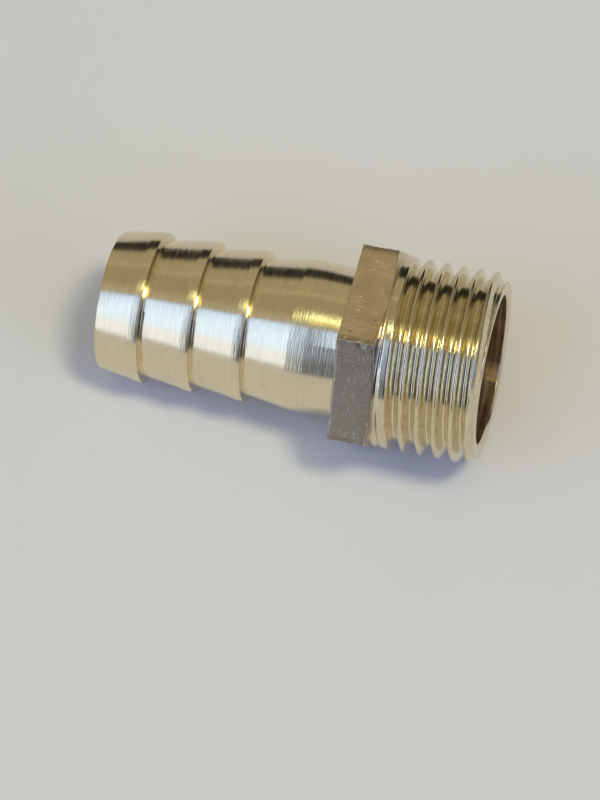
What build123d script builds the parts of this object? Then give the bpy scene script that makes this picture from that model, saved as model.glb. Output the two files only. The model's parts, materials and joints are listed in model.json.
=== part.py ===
from build123d import *

import math
import os

# Hose barb tail: 1/2 inch pipe thread on one side of a hexagon, 16 mm hose barbs on the other.
#
# One piece, turned and bored from hexagon bar. All lengths are in millimetres. The axis of the
# fitting is X: the hose leaves towards -X and the thread points towards +X. The origin is on the
# axis, in the plane where the threaded shank leaves the hexagon. One flat of the hexagon faces
# down (-Z), as the fitting lies on a bench.

# Hexagon
hex_across_flats = 21.0
hex_thickness = 4.3
hex_chamfer_angle = 15.0  # degrees from the face on the thread side

# Threaded shank, G 1/2 (BSP parallel). The ridges have the thread's own profile and pitch,
# as closed rings and not as a helix.
thread_major_diameter = 20.955
thread_length = 11.0
thread_end_diameter = 19.1  # small end of the 45 degree lead-in chamfer
thread_pitch = 25.4 / 14
thread_flank_angle = 55.0  # between the two sides of a groove
thread_collar_length = 0.95  # plain stretch beside the hexagon

# Hose barbs
barb_count = 3
barb_diameter = 16.6  # over the lands
barb_step = 0.75  # radial height of each sharp edge
barb_pitch = 5.7
barb_land_length = 1.0
first_barb_length = 4.9  # from the hose end to the first sharp edge
hose_end_diameter = 15.3
hose_end_edge_break = 0.15

# Neck between the last barb and the hexagon
neck_ramp_length = 4.9  # rises from the root of the last barb
neck_land_length = 1.9
neck_taper_length = 3.8
neck_end_diameter = 16.2

# Bores
hose_bore_diameter = 12.6
thread_bore_diameter = 16.3
thread_bore_depth = 11.5  # from the thread end to the start of the cone
drill_point_angle = 118.0
bore_edge_break = 0.2

# Derived values
barb_root_diameter = barb_diameter - 2 * barb_step
neck_length = neck_ramp_length + neck_land_length + neck_taper_length
last_edge_x = -hex_thickness - neck_length
first_edge_x = last_edge_x - (barb_count - 1) * barb_pitch
hose_end_x = first_edge_x - first_barb_length
hex_corner_radius = hex_across_flats / math.sqrt(3)
thread_half_slope = math.tan(math.radians(thread_flank_angle / 2))
thread_vee_height = thread_pitch / 2 / thread_half_slope  # of the sharp, untruncated ridge
thread_depth = thread_vee_height * 2 / 3
thread_flat = thread_vee_height / 3 * thread_half_slope  # width of each crest and each root


def hose_side_points():
    """Upper half outline from the hose end to the hexagon, as (x, radius) pairs."""
    land_radius = barb_diameter / 2
    root_radius = barb_root_diameter / 2
    points = [
        (hose_end_x, hose_end_diameter / 2 - hose_end_edge_break),
        (hose_end_x + hose_end_edge_break, hose_end_diameter / 2),
    ]
    for barb in range(barb_count):
        edge_x = first_edge_x + barb * barb_pitch
        points += [
            (edge_x - barb_land_length, land_radius),
            (edge_x, land_radius),
            (edge_x, root_radius),
        ]
    ramp_end_x = last_edge_x + neck_ramp_length
    points += [
        (ramp_end_x, land_radius),
        (ramp_end_x + neck_land_length, land_radius),
        (-hex_thickness, neck_end_diameter / 2),
    ]
    return points


def thread_side_points():
    """Upper half outline from the hexagon to the thread end, as (x, radius) pairs."""
    crest_radius = thread_major_diameter / 2
    root_radius = crest_radius - thread_depth
    chamfer_x = thread_length - (thread_major_diameter - thread_end_diameter) / 2
    grooves = math.floor((chamfer_x - thread_collar_length) / thread_pitch)
    points = [(0, crest_radius)]
    for groove in range(grooves):
        groove_x = thread_collar_length + groove * thread_pitch
        flank_length = thread_depth * thread_half_slope
        points += [
            (groove_x, crest_radius),
            (groove_x + flank_length, root_radius),
            (groove_x + flank_length + thread_flat, root_radius),
            (groove_x + thread_pitch - thread_flat, crest_radius),
        ]
    return points + [(chamfer_x, crest_radius), (thread_length, thread_end_diameter / 2)]


def turned(points):
    """Solid of revolution about X under an outline that runs from left to right."""
    first_x = points[0][0]
    last_x = points[-1][0]
    outline = [(first_x, 0)] + points + [(last_x, 0)]
    face = make_face(Polyline(outline, close=True))
    return revolve(face, Axis.X)


def hexagon():
    """Hexagon with a flat facing down and its corners chamfered on the thread side."""
    side_view = Plane(origin=(-hex_thickness, 0, 0), x_dir=(0, 1, 0), z_dir=(1, 0, 0))
    flats = side_view * RegularPolygon(hex_across_flats / 2, 6, major_radius=False)
    prism = extrude(flats, hex_thickness)
    chamfer_radius = thread_major_diameter / 2
    reach = 2 * hex_corner_radius
    drop = (reach - chamfer_radius) * math.tan(math.radians(hex_chamfer_angle))
    cone = turned([(-hex_thickness - drop, reach), (-drop, reach), (0, chamfer_radius)])
    return prism & cone


def bore():
    """Hose bore right through, and the wider bore drilled from the thread end."""
    small = hose_bore_diameter / 2
    large = thread_bore_diameter / 2
    cone_length = (large - small) / math.tan(math.radians(drill_point_angle / 2))
    cone_start_x = thread_length - thread_bore_depth
    return turned(
        [
            (hose_end_x, small + bore_edge_break),
            (hose_end_x + bore_edge_break, small),
            (cone_start_x - cone_length, small),
            (cone_start_x, large),
            (thread_length - bore_edge_break, large),
            (thread_length, large + bore_edge_break),
        ]
    )


def hose_barb_tail():
    """The whole fitting: both turned ends on the hexagon, bored through."""
    hose_side = turned(hose_side_points())
    thread_side = turned(thread_side_points())
    fitting = hose_side + hexagon() + thread_side - bore()
    fitting.label = "hose_barb_tail"
    return fitting


os.makedirs("parts", exist_ok=True)
export_step(hose_barb_tail(), "parts/hose_barb_tail.step")
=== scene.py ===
import json
import math

import bpy
import numpy as np
from mathutils import Matrix, Vector


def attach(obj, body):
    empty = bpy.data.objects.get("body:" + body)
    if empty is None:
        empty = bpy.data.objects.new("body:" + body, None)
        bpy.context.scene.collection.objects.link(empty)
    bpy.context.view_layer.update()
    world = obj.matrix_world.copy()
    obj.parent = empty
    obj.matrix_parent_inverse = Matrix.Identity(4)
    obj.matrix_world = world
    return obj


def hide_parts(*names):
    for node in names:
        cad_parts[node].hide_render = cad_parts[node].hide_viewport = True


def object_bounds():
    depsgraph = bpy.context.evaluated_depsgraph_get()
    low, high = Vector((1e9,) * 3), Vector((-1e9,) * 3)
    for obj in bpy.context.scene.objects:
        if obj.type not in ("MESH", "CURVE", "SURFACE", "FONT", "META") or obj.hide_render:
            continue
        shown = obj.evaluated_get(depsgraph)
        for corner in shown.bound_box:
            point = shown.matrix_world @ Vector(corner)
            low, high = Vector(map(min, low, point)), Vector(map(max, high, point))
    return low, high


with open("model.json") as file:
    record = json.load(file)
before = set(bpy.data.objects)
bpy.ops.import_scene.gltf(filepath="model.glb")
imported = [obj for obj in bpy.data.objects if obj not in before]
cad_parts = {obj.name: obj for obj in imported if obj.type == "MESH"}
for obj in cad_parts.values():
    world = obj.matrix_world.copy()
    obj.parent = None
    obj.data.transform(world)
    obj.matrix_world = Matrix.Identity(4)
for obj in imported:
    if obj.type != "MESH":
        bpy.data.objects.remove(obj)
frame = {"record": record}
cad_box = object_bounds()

# The looks of the hose barb tail, in the frame of its solid. The axis of the fitting is X: the hose
# end is at -X and the thread at +X. One closed mesh, with four finishes of brass, takes the solid's
# place. It adds the true helix of the thread and its run-out, rounded edges, dents and tool marks.

NODE = "hose_barb_tail"
MM = 0.001  # one millimetre in metres
mounts = {m["name"]: m for m in frame["record"]["mounts"]}

# ---- sizes in millimetres: what the frame gives ----
hose_end_x = cad_box[0].x / MM
thread_end_x = cad_box[1].x / MM
hex_apothem = cad_box[1].z / MM
thread_radius = mounts["male_thread"]["dims"]["r_mm"]
land_radius = mounts["hose_barbs"]["dims"]["r_mm"]
hose_bore_radius = mounts["hose_bore"]["dims"]["r_mm"]
thread_bore_radius = mounts["thread_bore"]["dims"]["r_mm"]

# ---- sizes in millimetres: the turned form ----
hex_thickness = 4.3
hex_chamfer_angle = 15.0  # degrees
barb_count = 3
barb_pitch = 5.7
barb_step = 0.75
barb_land = 1.0
first_barb = 4.9
hose_end_radius = 7.65
neck_ramp = 4.9
neck_land = 1.9
neck_end_radius = 8.1
thread_pitch = 25.4 / 14
thread_half_angle = 27.5  # degrees
thread_depth = 0.640327 * thread_pitch
thread_rounding = 0.137329 * thread_pitch  # radius of its crests and roots
lead_end_radius = 9.55
thread_bore_depth = 11.5
drill_point_angle = 118.0  # degrees
edge_break = 0.2

# ---- sizes in millimetres: what only the looks need ----
edge_round = 0.045
root_round = 0.06
hose_end_round = 0.15
bore_edge_round = 0.03
land_crown = 0.012  # how much higher the middle of a barb's land is than its ends
step_lean = 0.11  # from the edge of a barb, along X, to the foot of its step
hex_edge_round = 0.12
hex_burr = 0.13  # radius of the turned-over edge on the hose side of the hexagon
hex_face_inset = 1.0  # from the flats to where the neck's outline ends on the hexagon's face
crest_x = 2.42  # a crest on the far upper side of the shank, at crest_angle
crest_angle = 31.0  # degrees
thread_start_x = 0.25
runout_start = -0.85  # turns from the valley beside that crest, towards the hexagon
runout_turns = 1.25  # over which the valley reaches its full depth
crest_blend = 0.28  # height over which two flanks of a ridge run into its crest
lead_blend = 0.1  # the same for the thread and its lead-in chamfer

# ---- dents along the long edges of the hexagon, as ranges in millimetres ----
DENT_SEED = 21
DENTS_PER_EDGE = 7
DENT_PLACES = (0.02, 0.98)  # share of the hexagon's thickness
DENT_SIZES = (0.12, 0.34)
DENT_DEPTHS = (0.03, 0.11)
DENT_SHIFTS = (-0.15, 0.15)
DENT_STRETCH = 1.4  # how much longer a dent is across the edge than along it

# ---- resolution ----
COLUMNS = 384  # round the axis
COLUMN_CROWDING = 0.75  # 0 spreads the columns evenly, 1 lets them meet at the hexagon's corners
ARC_STEPS = 4  # on a rounding that turns by more than SHORT_ARC, and 2 on any other
SHORT_ARC = 30  # degrees
ARC_SHARE = 0.45  # the most that a rounding takes of the line on either side of it
RINGS_PER_PITCH = 20
HEXAGON_RINGS = 24

# ---- camera: places in millimetres, roll in degrees, lens as its focal length ----
camera_at = (45.90, -165.70, 273.47)
camera_aim = (-8.95, -6.03, -3.48)
camera_roll = -5.71
camera_lens = 135.0
camera_clip = 0.01  # metres

# ---- table top, in metres ----
TABLE_HALF = 4.0
TABLE_COLOUR = (0.84, 0.82, 0.85, 1)
TABLE_ROUGHNESS = 0.7


def column_angles():
    """Angles of the mesh columns, closer together at the six corners of the hexagon."""
    per_side = COLUMNS // 6
    step = np.arange(per_side) / per_side
    side = step - COLUMN_CROWDING * np.sin(2 * np.pi * step) / (2 * np.pi)
    return np.concatenate([np.radians(60) * (k + side) for k in range(6)])


def corner_arc(before, here, after, rounding):
    """Points of the arc of one rounding at the corner here, from the line before to the line after."""
    corner = np.array(here)
    back = np.array(before) - corner
    ahead = np.array(after) - corner
    back_length = np.linalg.norm(back)
    ahead_length = np.linalg.norm(ahead)
    back = back / back_length
    ahead = ahead / ahead_length
    turn = math.acos(np.clip(back @ ahead, -1, 1))
    reach = rounding / math.tan(turn / 2)
    reach = min(reach, ARC_SHARE * back_length, ARC_SHARE * ahead_length)
    centre = corner + (back + ahead) / np.linalg.norm(back + ahead) * reach / math.cos(turn / 2)
    start = corner + back * reach
    end = corner + ahead * reach
    radius = np.linalg.norm(start - centre)
    first = math.atan2(*(start - centre)[::-1])
    last = math.atan2(*(end - centre)[::-1])
    sweep = (last - first + math.pi) % (2 * math.pi) - math.pi
    steps = ARC_STEPS if abs(sweep) > math.radians(SHORT_ARC) else 2
    angles = [first + sweep * k / steps for k in range(steps + 1)]
    return [(centre[0] + radius * math.cos(a), centre[1] + radius * math.sin(a)) for a in angles]


def rounded(corners):
    """Outline through (x, radius, rounding) corners, each with an arc of its own rounding."""
    points = [corners[0][:2]]
    for before, here, after in zip(corners, corners[1:], corners[2:]):
        if here[2] == 0:
            points.append(here[:2])
        else:
            points += corner_arc(before[:2], here[:2], after[:2], here[2])
    points.append(corners[-1][:2])
    return np.array(points)


def turned_rings(corners):
    """Rings of a turned surface: x and radius, the same all the way round."""
    outline = rounded(corners)
    shape = (len(outline), COLUMNS)
    return np.broadcast_to(outline[:, :1], shape), np.broadcast_to(outline[:, 1:], shape)


def hose_side_corners():
    """From the mouth of the hose bore, over the barbs and the neck, to the hexagon."""
    root_radius = land_radius - barb_step
    end_radius = land_radius - land_crown
    mouth_gap = 0.02
    corners = [
        (hose_end_x, hose_bore_radius + edge_break + mouth_gap, 0),
        (hose_end_x, hose_end_radius, hose_end_round),
    ]
    for barb in range(barb_count):
        edge_x = hose_end_x + first_barb + barb * barb_pitch
        corners += [
            (edge_x - barb_land, end_radius, edge_round),
            (edge_x - barb_land / 2, land_radius, 0),
            (edge_x, end_radius, edge_round),
            (edge_x + step_lean, root_radius, root_round),
        ]
    ramp_end_x = edge_x + neck_ramp
    corners += [
        (ramp_end_x, land_radius, edge_round),
        (ramp_end_x + neck_land, land_radius, edge_round),
        (-hex_thickness, neck_end_radius, root_round),
        (-hex_thickness, hex_apothem - hex_face_inset, 0),
    ]
    return corners


def hexagon_radius(angles):
    """Radius of the hexagon's rounded outline in each direction, with corners at 0, 60, ... degrees."""
    off = np.abs((angles + np.radians(30)) % np.radians(60) - np.radians(30))
    flat = hex_apothem / np.cos(np.radians(30) - off)
    centre = (hex_apothem - hex_edge_round) / math.cos(math.radians(30))
    inside = np.maximum(hex_edge_round**2 - (centre * np.sin(off)) ** 2, 0)
    corner = centre * np.cos(off) + np.sqrt(inside)
    tangent_reach = centre + hex_edge_round * math.cos(math.radians(30))
    tangent = math.atan2(hex_edge_round * math.sin(math.radians(30)), tangent_reach)
    return np.where(off < tangent, corner, flat)


def corner_dents(x, angles):
    """Depth of small dents along the six long edges of the hexagon, at 0, 60, ... degrees."""
    rng = np.random.default_rng(DENT_SEED)
    depth = np.zeros(np.broadcast_shapes(x.shape, angles.shape))
    corner_radius = hex_apothem / math.cos(math.radians(30))
    for corner in range(6):
        for _ in range(DENTS_PER_EDGE):
            middle = -hex_thickness * rng.uniform(*DENT_PLACES)
            size = rng.uniform(*DENT_SIZES)
            deep = rng.uniform(*DENT_DEPTHS)
            shift = rng.uniform(*DENT_SHIFTS)
            around = (angles - np.radians(60 * corner) + math.pi) % (2 * math.pi) - math.pi
            off = (around * corner_radius - shift) / (DENT_STRETCH * size)
            depth = depth + deep * np.exp(-(((x - middle) / size) ** 2) - off**2)
    return depth


def hexagon_rings(angles):
    """Hexagon from its hose-side face, over the sides, to the shank: x and radius of each ring."""
    side_gap = 0.04
    chamfer_shares = (0.02, 0.3, 0.6, 0.9)
    chamfer_drop = 0.01
    shank_start_x = 0.02
    outline = hexagon_radius(angles)
    slope = math.tan(math.radians(hex_chamfer_angle))
    face_x = np.full(COLUMNS, -hex_thickness)
    chamfer_x = -(outline - thread_radius) * slope
    xs = [face_x]
    rs = [outline - hex_burr]
    for k in range(1, ARC_STEPS):
        a = math.pi / 2 * k / ARC_STEPS
        xs.append(face_x + hex_burr * (1 - math.cos(a)))
        rs.append(outline - hex_burr * (1 - math.sin(a)))
    side_start = face_x + hex_burr
    side_end = chamfer_x - side_gap
    for share in np.linspace(0, 1, HEXAGON_RINGS):
        x = side_start + (side_end - side_start) * share
        xs.append(x)
        rs.append(outline - corner_dents(x, angles))
    for share in chamfer_shares:
        r = outline + (thread_radius - outline) * share
        xs.append(-(r - thread_radius) * slope)
        rs.append(r - chamfer_drop * (1 - share))
    xs.append(np.zeros(COLUMNS) + shank_start_x)
    rs.append(np.full(COLUMNS, thread_radius))
    return np.array(xs), np.array(rs)


def soft_minimum(a, b, width):
    """The smaller of two heights, with the edge where they cross rounded over width."""
    near = np.maximum(width - np.abs(a - b), 0) / width
    return np.minimum(a, b) - near**2 * width / 4


def valley_radius(away, along):
    """Radius in one valley of the thread, away from its middle and along it in turns."""
    clear = 0.3  # a valley that isn't cut yet stays this far outside the shank
    slope = 1 / math.tan(math.radians(thread_half_angle))
    arc = thread_rounding * math.cos(math.radians(thread_half_angle))
    arc_height = thread_rounding * (1 - math.sin(math.radians(thread_half_angle)))
    share = np.clip((along - runout_start) / runout_turns, 0, 1)
    bottom = thread_radius - thread_depth * share * share * (3 - 2 * share) + clear * (share <= 0)
    inside = np.maximum(thread_rounding**2 - np.minimum(away, arc) ** 2, 0)
    curve = thread_rounding - np.sqrt(inside)
    return bottom + np.where(away < arc, curve, arc_height + (away - arc) * slope)


def thread_rings(angles):
    """Right-hand pipe thread with its run-out at the hexagon and its lead-in chamfer: x and radius."""
    count = int((thread_end_x - thread_start_x) / thread_pitch * RINGS_PER_PITCH)
    x = np.linspace(thread_start_x, thread_end_x, count)[:, None] + np.zeros(COLUMNS)
    turn = (angles - np.radians(crest_angle)) / (2 * np.pi)
    radius = np.full_like(x, thread_radius)
    for valley in range(-2, 8):
        along = valley + turn
        middle = crest_x - thread_pitch / 2 + thread_pitch * along
        radius = soft_minimum(radius, valley_radius(np.abs(x - middle), along), crest_blend)
    lead = lead_end_radius + (thread_end_x - x)
    return x, np.minimum(soft_minimum(radius, lead, lead_blend), thread_radius)


def bore_corners():
    """From the thread end, through the wide bore and the drill cone, out of the hose end."""
    end_face_inset = 0.4
    extra_rings = (4, 8, 18)  # millimetres from the nearest corner, to keep the faces short
    cone_x = thread_end_x - thread_bore_depth
    cone = (thread_bore_radius - hose_bore_radius) / math.tan(math.radians(drill_point_angle / 2))
    return [
        (thread_end_x, lead_end_radius - end_face_inset, 0),
        (thread_end_x, thread_bore_radius + edge_break, bore_edge_round),
        (thread_end_x - edge_break, thread_bore_radius, bore_edge_round),
        (thread_end_x - extra_rings[0], thread_bore_radius, 0),
        (cone_x, thread_bore_radius, root_round),
        (cone_x - cone, hose_bore_radius, edge_round),
        (cone_x - cone - extra_rings[1], hose_bore_radius, 0),
        (cone_x - cone - extra_rings[2], hose_bore_radius, 0),
        (hose_end_x + edge_break, hose_bore_radius, bore_edge_round),
        (hose_end_x, hose_bore_radius + edge_break, bore_edge_round),
    ]


def fitting_mesh():
    """The whole fitting as one closed mesh: rings along the outline, columns round the axis."""
    angles = column_angles()
    blocks = [
        turned_rings(hose_side_corners()),
        hexagon_rings(angles),
        thread_rings(angles),
        turned_rings(bore_corners()),
    ]
    x = np.concatenate([block[0] for block in blocks])
    radius = np.concatenate([block[1] for block in blocks])
    finish = np.concatenate([np.full(len(block[0]), k) for k, block in enumerate(blocks)])
    rings = len(x)
    points = np.stack([x, radius * np.cos(angles), radius * np.sin(angles)], axis=-1) * MM
    ring, column = np.meshgrid(np.arange(rings), np.arange(COLUMNS), indexing="ij")
    next_ring = (ring + 1) % rings
    next_column = (column + 1) % COLUMNS
    faces = np.stack(
        [
            ring * COLUMNS + column,
            ring * COLUMNS + next_column,
            next_ring * COLUMNS + next_column,
            next_ring * COLUMNS + column,
        ],
        axis=-1,
    ).reshape(-1, 4)
    mesh = bpy.data.meshes.new("fitting")
    mesh.from_pydata(points.reshape(-1, 3).tolist(), [], faces.tolist())
    mesh.polygons.foreach_set("material_index", np.repeat(finish, COLUMNS).astype(np.int32))
    mesh.polygons.foreach_set("use_smooth", np.ones(len(faces), bool))
    mesh.validate()
    mesh.update()
    return mesh


class Graph:
    """Adds nodes to a node tree. A value may be a number, a colour or another node's output."""

    def __init__(self, tree):
        self.nodes = tree.nodes
        self.links = tree.links

    def put(self, socket, value):
        if isinstance(value, bpy.types.NodeSocket):
            self.links.new(value, socket)
        elif isinstance(value, tuple) and len(value) < len(socket.default_value):
            socket.default_value = (*value, 1)
        else:
            socket.default_value = value

    def math(self, operation, *values):
        node = self.nodes.new("ShaderNodeMath")
        node.operation = operation
        for socket, value in zip(node.inputs, values):
            self.put(socket, value)
        return node.outputs[0]

    def product(self, *values):
        result = values[0]
        for value in values[1:]:
            result = self.math("MULTIPLY", result, value)
        return result

    def step(self, value, start, end, low=0.0, high=1.0):
        """low before start, high after end, smooth between."""
        node = self.nodes.new("ShaderNodeMapRange")
        node.interpolation_type = "SMOOTHSTEP"
        names = ("Value", "From Min", "From Max", "To Min", "To Max")
        for name, setting in zip(names, (value, start, end, low, high)):
            self.put(node.inputs[name], setting)
        return node.outputs["Result"]

    def mix(self, share, under, over):
        """Colour under where share is 0, and over where it is 1."""
        node = self.nodes.new("ShaderNodeMix")
        node.data_type = "RGBA"
        colour_inputs = (0, 6, 7)
        for index, setting in zip(colour_inputs, (share, under, over)):
            self.put(node.inputs[index], setting)
        return node.outputs[2]

    def noise(self, place, along, across, detail=2.0, offset=(0.0, 0.0, 0.0)):
        """Noise with about this many blobs to the unit of place, along X and across it."""
        scaled = self.nodes.new("ShaderNodeMapping")
        scaled.inputs["Scale"].default_value = (along, across, across)
        scaled.inputs["Location"].default_value = offset
        self.links.new(place, scaled.inputs["Vector"])
        node = self.nodes.new("ShaderNodeTexNoise")
        node.inputs["Scale"].default_value = 1
        node.inputs["Detail"].default_value = detail
        self.links.new(scaled.outputs[0], node.inputs["Vector"])
        return node.outputs["Fac"]

    def bump(self, height, depth_mm, below=None):
        """Normal of a surface whose height runs from 0 to 1 over depth_mm."""
        node = self.nodes.new("ShaderNodeBump")
        node.inputs["Distance"].default_value = depth_mm * MM
        self.links.new(height, node.inputs["Height"])
        if below is not None:
            self.links.new(below, node.inputs["Normal"])
        return node.outputs[0]

    def split(self, vector):
        """The X, Y and Z of a vector."""
        node = self.nodes.new("ShaderNodeSeparateXYZ")
        self.links.new(vector, node.inputs[0])
        return node.outputs["X"], node.outputs["Y"], node.outputs["Z"]

    def angle_round_x(self, y, z):
        """Angle round the X axis in degrees, from 0 at +Y through 90 at +Z."""
        return self.math("MULTIPLY", self.math("ARCTAN2", z, y), 180 / math.pi)


def metal(name):
    """A new metallic material: its graph, its shader and the place on the fitting in millimetres."""
    material = bpy.data.materials.new(name)
    material.use_nodes = True
    graph = Graph(material.node_tree)
    shader = graph.nodes["Principled BSDF"]
    shader.inputs["Metallic"].default_value = 1
    coordinates = graph.nodes.new("ShaderNodeTexCoord")
    place = graph.nodes.new("ShaderNodeVectorMath")
    place.operation = "SCALE"
    place.inputs["Scale"].default_value = 1 / MM
    graph.links.new(coordinates.outputs["Object"], place.inputs[0])
    return material, graph, shader, place.outputs[0]


def turned_brass():
    """Bright brass with the tool's fine marks round it, and a little wear."""
    dark = (0.79, 0.67, 0.46)
    light = (0.86, 0.73, 0.50)
    worn = (0.64, 0.54, 0.39)
    most_wear = 0.3
    roughness = (0.11, 0.22)
    mark_depth = 0.018  # millimetres
    line_depth = 0.004
    material, graph, shader, place = metal("turned_brass")
    marks = graph.noise(place, 6, 0.5, detail=3)
    lines = graph.noise(place, 15, 0.3, detail=2)
    wear = graph.noise(place, 0.5, 0.35, detail=3)
    colour = graph.mix(graph.step(lines, 0.3, 0.7), dark, light)
    colour = graph.mix(graph.step(wear, 0.52, 0.75, 0, most_wear), colour, worn)
    graph.put(shader.inputs["Base Color"], colour)
    graph.put(shader.inputs["Roughness"], graph.step(marks, 0.25, 0.75, *roughness))
    normal = graph.bump(marks, mark_depth)
    graph.put(shader.inputs["Normal"], graph.bump(lines, line_depth, normal))
    return material


# Darkens one flat of the hexagon: painted shade on the front flat, plain tarnish on a low flat.
def flat_shade_and_tarnish(graph, degrees, first_corner, amount):
    """amount on the flat that starts at first_corner and ends 60 degrees on, and 0 elsewhere."""
    last_corner = first_corner + 60
    start = graph.step(degrees, first_corner - 0.5, first_corner + 1.0, 0.0, amount)
    return graph.product(start, graph.step(degrees, last_corner + 0.5, last_corner - 1.0))


def scratches(graph, place, where):
    """Thin bent lines where a smooth noise is at its middle height, in the places where tells."""
    curls = graph.noise(place, 1.6, 1.0, detail=1, offset=(3, 7, 1))
    off = graph.math("ABSOLUTE", graph.math("SUBTRACT", curls, 0.5))
    return graph.product(graph.step(off, 0.008, 0.003), where)


def drawn_brass():
    """Dull hexagon bar: drawing lines and seams along it, stains, pits, pale dashes and scratches,
    painted shade on the front flat and tarnish on a low flat.
    """
    dark = (0.66, 0.52, 0.35)
    light = (0.80, 0.64, 0.43)
    in_lines = (0.50, 0.40, 0.28)
    # colour of the painted shade on the front flat and of the tarnish on the low flat
    shade_and_tarnish_colour = (0.38, 0.33, 0.27)
    bare = (0.86, 0.80, 0.68)
    in_seams = (0.28, 0.21, 0.14)
    at_corners = (0.26, 0.22, 0.17)
    in_pits = (0.20, 0.15, 0.10)
    scratched = (0.88, 0.80, 0.62)
    # Painted shade: the front flat is darkened to stand in for the dark room it reflects. The low flat
    # gets real tarnish.
    front_flat = 120  # degrees, the corner where it starts
    low_flat = -60
    most_painted_shade = 0.9
    some_tarnish = 0.5
    corner_start = 11.72  # millimetres from the axis
    corner_full = 11.98
    corner_dirt = (0.3, 0.9)
    corner_roughness = 0.3
    roughness = (0.16, 0.26)
    drawing_depth = 0.004  # millimetres
    grain_depth = 0.003
    pit_depth = 0.03
    scratch_depth = 0.008

    material, graph, shader, place = metal("drawn_brass")
    drawing = graph.noise(place, 0.35, 5, detail=3)
    stains = graph.noise(place, 0.6, 0.5, detail=4)
    grain = graph.noise(place, 7, 5, detail=3)
    pits = graph.step(graph.noise(place, 1.7, 2.6, detail=2), 0.285, 0.25)
    dashes = graph.step(graph.noise(place, 8, 1.5, detail=2, offset=(5, 2, 8)), 0.64, 0.70)
    seams = graph.step(graph.noise(place, 0.7, 5, detail=2, offset=(9, 4, 2)), 0.33, 0.28)
    seams = graph.product(seams, graph.step(stains, 0.5, 0.6))
    scratch = scratches(graph, place, graph.step(stains, 0.45, 0.6))
    _, y, z = graph.split(place)
    squares = graph.math("ADD", graph.math("POWER", y, 2.0), graph.math("POWER", z, 2.0))
    corners = graph.step(graph.math("SQRT", squares), corner_start, corner_full)
    corners = graph.product(corners, graph.step(grain, 0.3, 0.6, *corner_dirt))
    degrees = graph.angle_round_x(y, z)
    # painted shade on the front flat, added to the tarnish on the low flat
    painted_shade_and_tarnish = graph.math(
        "ADD",
        flat_shade_and_tarnish(graph, degrees, front_flat, most_painted_shade),
        flat_shade_and_tarnish(graph, degrees, low_flat, some_tarnish),
    )

    colour = graph.mix(graph.step(stains, 0.3, 0.7), dark, light)
    colour = graph.mix(graph.step(drawing, 0.35, 0.7, 0, 0.35), colour, in_lines)
    colour = graph.mix(painted_shade_and_tarnish, colour, shade_and_tarnish_colour)
    colour = graph.mix(graph.product(dashes, painted_shade_and_tarnish), colour, bare)
    colour = graph.mix(graph.product(seams, 0.6), colour, in_seams)
    colour = graph.mix(corners, colour, at_corners)
    colour = graph.mix(graph.product(pits, 0.7), colour, in_pits)
    colour = graph.mix(graph.product(scratch, 0.5), colour, scratched)
    graph.put(shader.inputs["Base Color"], colour)
    rough = graph.step(grain, 0.3, 0.7, *roughness)
    rough = graph.math("ADD", rough, graph.product(corners, corner_roughness))
    graph.put(shader.inputs["Roughness"], rough)
    normal = graph.bump(drawing, drawing_depth)
    normal = graph.bump(grain, grain_depth, normal)
    normal = graph.bump(pits, -pit_depth, normal)
    graph.put(shader.inputs["Normal"], graph.bump(scratch, -scratch_depth, normal))
    return material


def threaded_brass():
    """Cut brass, torn a little by the threading tool."""
    dark = (0.71, 0.61, 0.42)
    light = (0.82, 0.72, 0.51)
    in_tears = (0.48, 0.40, 0.28)
    roughness = (0.08, 0.2)
    mark_depth = 0.003  # millimetres
    tear_depth = 0.006
    material, graph, shader, place = metal("threaded_brass")
    marks = graph.noise(place, 5, 0.7, detail=3)
    tears = graph.noise(place, 6, 2.2, detail=4)
    torn = graph.step(tears, 0.52, 0.68)
    colour = graph.mix(graph.step(marks, 0.3, 0.7), dark, light)
    colour = graph.mix(graph.product(torn, 0.35), colour, in_tears)
    graph.put(shader.inputs["Base Color"], colour)
    graph.put(shader.inputs["Roughness"], graph.step(tears, 0.35, 0.7, *roughness))
    normal = graph.bump(marks, mark_depth)
    graph.put(shader.inputs["Normal"], graph.bump(tears, tear_depth, normal))
    return material


def bored_brass():
    """The bores, a little redder than the outside, with rings from the drill."""
    dark = (0.78, 0.64, 0.50)
    light = (0.88, 0.74, 0.58)
    roughness = (0.12, 0.22)
    ring_depth = 0.012  # millimetres
    material, graph, shader, place = metal("bored_brass")
    rings = graph.noise(place, 3, 0.2, detail=3)
    graph.put(shader.inputs["Base Color"], graph.mix(graph.step(rings, 0.3, 0.7), dark, light))
    graph.put(shader.inputs["Roughness"], graph.step(rings, 0.3, 0.7, *roughness))
    graph.put(shader.inputs["Normal"], graph.bump(rings, ring_depth))
    return material


fitting = bpy.data.objects.new("hose_barb_tail_turned", fitting_mesh())
bpy.context.scene.collection.objects.link(fitting)
for material in (turned_brass(), drawn_brass(), threaded_brass(), bored_brass()):
    fitting.data.materials.append(material)
weighted = fitting.modifiers.new("weighted", "WEIGHTED_NORMAL")
weighted.keep_sharp = True
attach(fitting, "root")
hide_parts(NODE)


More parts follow.
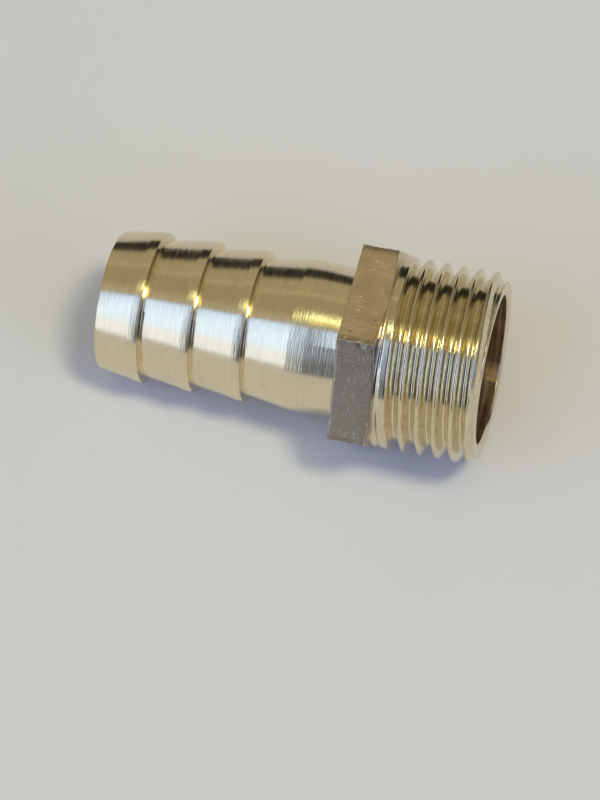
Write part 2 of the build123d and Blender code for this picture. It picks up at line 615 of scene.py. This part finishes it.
def floor():
    """A large pale table top. The fitting rests on a hexagon flat and on its first barb."""
    contact = (-hex_thickness, -hex_apothem)
    barb = (hose_end_x + first_barb - barb_land, -land_radius)
    tilt = math.atan2(barb[1] - contact[1], contact[0] - barb[0])
    mesh = bpy.data.meshes.new("table_top")
    corners = [
        (-TABLE_HALF, -TABLE_HALF, 0),
        (TABLE_HALF, -TABLE_HALF, 0),
        (TABLE_HALF, TABLE_HALF, 0),
        (-TABLE_HALF, TABLE_HALF, 0),
    ]
    mesh.from_pydata(corners, [], [(0, 1, 2, 3)])
    obj = bpy.data.objects.new("table_top", mesh)
    bpy.context.scene.collection.objects.link(obj)
    at = Matrix.Translation(Vector((contact[0] * MM, 0, contact[1] * MM)))
    obj.matrix_world = at @ Matrix.Rotation(tilt, 4, "Y")
    material = bpy.data.materials.new("table_top")
    material.use_nodes = True
    shader = material.node_tree.nodes["Principled BSDF"]
    shader.inputs["Base Color"].default_value = TABLE_COLOUR
    shader.inputs["Roughness"].default_value = TABLE_ROUGHNESS
    mesh.materials.append(material)


def camera():
    """The camera, from its place, the point it looks at and its roll about the line of sight."""
    data = bpy.data.cameras.new("camera")
    data.lens = camera_lens
    data.clip_start = camera_clip
    obj = bpy.data.objects.new("camera", data)
    bpy.context.scene.collection.objects.link(obj)
    sight = Vector(camera_aim) - Vector(camera_at)
    turn = sight.to_track_quat("-Z", "Y").to_matrix().to_4x4()
    roll = Matrix.Rotation(math.radians(camera_roll), 4, "Z")
    obj.matrix_world = Matrix.Translation(Vector(camera_at) * MM) @ turn @ roll
    bpy.context.scene.camera = obj


# ---- the room: radiance by direction, as a linear colour ----
# The warm wall behind, from its foot to overhead, with a dark shelf low down
BLACK_SHELF = (0.025, 0.024, 0.022)
WALL = (0.40, 0.36, 0.25)
WALL_LINE = (0.52, 0.46, 0.32)
WALL_LOW = (0.36, 0.32, 0.22)
WALL_LIT = (0.44, 0.40, 0.28)
# The front of the room, and the dark stretches on its right
SHADE = (0.31, 0.40, 0.64)
NIGHT = (0.16, 0.20, 0.28)
DEEP = (0.035, 0.04, 0.055)
DUSK = (0.16, 0.14, 0.09)
# The window at the front left, from its top to its sill, and a smaller one at the front right
SKY = (0.70, 1.05, 1.85)
WHITE = (0.95, 1.28, 1.95)
CREAM = (1.05, 1.20, 1.55)
SIDE_WINDOW = (1.1, 1.3, 2.4)
# Two small lamps overhead
TUBE = (3.0, 3.2, 1.9)
LAMP = (2.0, 1.85, 0.5)

# Angles round the X axis, in degrees: 0 is the far horizon, 90 overhead, 180 the near horizon.
WALL_BANDS = [
    (0, WALL),
    (54, WALL),
    (56, WALL_LINE),
    (58, WALL_LINE),
    (61, WALL_LOW),
    (91, WALL_LOW),
    (94, WALL_LIT),
    (105, WALL_LIT),
    (113, SHADE),
    (150, SHADE),
    (160, NIGHT),
    (180, NIGHT),
]
WINDOW_BANDS = [(106, SKY), (126, WHITE), (146, WHITE), (160, CREAM)]

# The area light that casts the shadow
PANEL_DIRECTION = (0.41, -0.155, 0.95)  # seen from the fitting
PANEL_DISTANCE = 1.2  # metres
PANEL_SIZE = (0.24, 0.21)  # metres
PANEL_RADIANCE = 28.5
PANEL_COLOUR = (1, 0.97, 0.65)


class Room(Graph):
    """The world's node tree. A direction is told by its angle round X and by its X, from -1 to 1."""

    def __init__(self, tree):
        super().__init__(tree)
        direction = self.nodes.new("ShaderNodeTexCoord").outputs["Generated"]
        self.across, y, z = self.split(direction)
        self.degrees = self.angle_round_x(y, z)

    def bands(self, rows):
        """Colours by the angle alone, from (angle, colour) rows."""
        ramp = self.nodes.new("ShaderNodeValToRGB")
        elements = ramp.color_ramp.elements
        while len(elements) < len(rows):
            elements.new(1)
        for element, (angle, colour) in zip(elements, rows):
            element.position = angle / 180
            element.color = (*colour, 1)
        self.put(ramp.inputs["Fac"], self.math("DIVIDE", self.degrees, 180.0))
        return ramp.outputs["Color"]

    def patch(self, under, colour, angles, sides, soft, slant=0.0, lean=0.0):
        """A part of the room from two angles and two values of X, with soft edges outside them.

        slant is what the X of a direction adds to its angle, and lean what its angle adds to its X.
        """
        angle = self.math("MULTIPLY_ADD", self.across, slant, self.degrees)
        side = self.math("MULTIPLY_ADD", self.degrees, lean, self.across)
        share = self.product(
            self.step(angle, angles[0] - soft[0], angles[0]),
            self.step(angle, angles[1] + soft[0], angles[1]),
            self.step(side, sides[0] - soft[1], sides[0]),
            self.step(side, sides[1] + soft[1], sides[1]),
        )
        return self.mix(share, under, colour)


def studio():
    """The plain room as a world: a warm wall, pale windows at the front and small lamps overhead."""
    world = bpy.data.worlds.new("studio")
    world.use_nodes = True
    room = Room(world.node_tree)
    window = room.bands(WINDOW_BANDS)
    colour = room.bands(WALL_BANDS)
    colour = room.patch(
        colour, window, angles=(111, 158), sides=(-0.47, 0.058), soft=(4, 0.014), lean=0.002
    )
    colour = room.patch(colour, CREAM, angles=(156, 190), sides=(-0.68, -0.28), soft=(3, 0.10))
    colour = room.patch(colour, SIDE_WINDOW, angles=(104, 172), sides=(0.69, 0.90), soft=(5, 0.04))
    colour = room.patch(colour, DUSK, angles=(-20, 96), sides=(0.30, 0.66), soft=(5, 0.08))
    colour = room.patch(colour, DEEP, angles=(106, 190), sides=(0.04, 0.66), soft=(5, 0.05))
    colour = room.patch(colour, LAMP, angles=(93, 104), sides=(0.04, 0.27), soft=(3, 0.03))
    colour = room.patch(
        colour, TUBE, angles=(82, 88), sides=(-0.156, -0.035), soft=(2, 0.010), slant=80.0
    )
    colour = room.patch(
        colour, BLACK_SHELF, angles=(-20, 20), sides=(-1.1, 1.1), soft=(5, 0.02), slant=12.0
    )
    room.put(room.nodes["Background"].inputs["Color"], colour)
    bpy.context.scene.world = world


def ceiling_panel():
    """A rectangular area light that faces the fitting."""
    data = bpy.data.lights.new("ceiling_panel", "AREA")
    data.shape = "RECTANGLE"
    data.size, data.size_y = PANEL_SIZE
    data.energy = PANEL_RADIANCE * math.pi * PANEL_SIZE[0] * PANEL_SIZE[1]
    data.color = PANEL_COLOUR
    obj = bpy.data.objects.new("ceiling_panel", data)
    bpy.context.scene.collection.objects.link(obj)
    away = Vector(PANEL_DIRECTION).normalized()
    side = (Vector((1, 0, 0)) - away * away.x).normalized()
    turn = Matrix((side, away.cross(side), away)).transposed().to_4x4()
    obj.matrix_world = Matrix.Translation(away * PANEL_DISTANCE) @ turn


floor()
camera()
studio()
ceiling_panel()
bpy.context.scene.view_settings.view_transform = "Standard"
bpy.context.view_layer.update()
